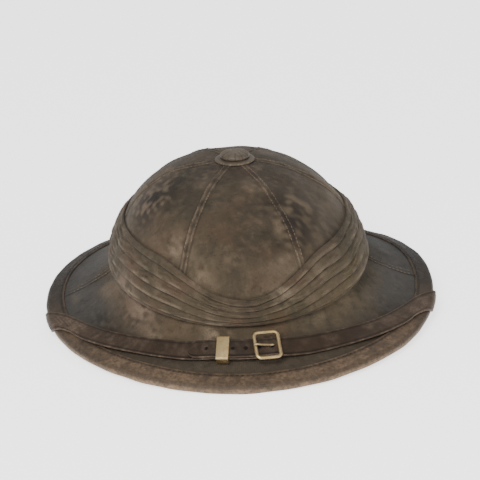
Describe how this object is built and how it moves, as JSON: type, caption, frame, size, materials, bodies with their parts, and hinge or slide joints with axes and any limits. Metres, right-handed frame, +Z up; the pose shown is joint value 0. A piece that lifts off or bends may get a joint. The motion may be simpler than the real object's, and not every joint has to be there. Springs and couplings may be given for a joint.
{
  "type": "pith helmet",
  "caption": "Worn sola pith helmet with domed crown, sloping bound brim, wound cloth band, top ventilator, head ring and a leather chin strap worn up over the front brim.",
  "frame": {"origin": "the bottom centre of the whole helmet's box, on the surface that the helmet stands on", "axes": "+Z up, front of the helmet towards -Y, width along X, wearer's left towards +X"},
  "size_m": [0.2964, 0.3383, 0.1256],
  "materials": {
    "cover_cloth": "worn brown-olive cotton drill, mottled with age",
    "band_cloth": "worn brown muslin wound in folds",
    "binding_leather": "dark leather rubbed to tan along the edge",
    "strap_leather": "dark brown bridle leather, cracked and dull",
    "head_leather": "tan leather darkened by wear",
    "cork": "bare cork",
    "brass": "tarnished, bright where rubbed",
    "vent_metal": "brown paint, chipped"
  },
  "bodies": {
    "root": {"shell": "cover_cloth", "puggaree": "band_cloth", "brim_binding": "binding_leather", "vent_collar": "vent_metal", "vent_cap": "vent_metal", "sweatband": "head_leather", "chin_strap": "strap_leather", "strap_tail": "strap_leather", "buckle_frame": "brass", "buckle_tongue": "brass", "strap_keeper": "brass", "strap_screw_left": "brass", "strap_screw_right": "brass", "cork_spacer_1": "cork", "cork_spacer_2": "cork", "cork_spacer_3": "cork", "cork_spacer_4": "cork", "cork_spacer_5": "cork", "cork_spacer_6": "cork", "cork_spacer_7": "cork", "cork_spacer_8": "cork"}
  },
  "joints": []
}
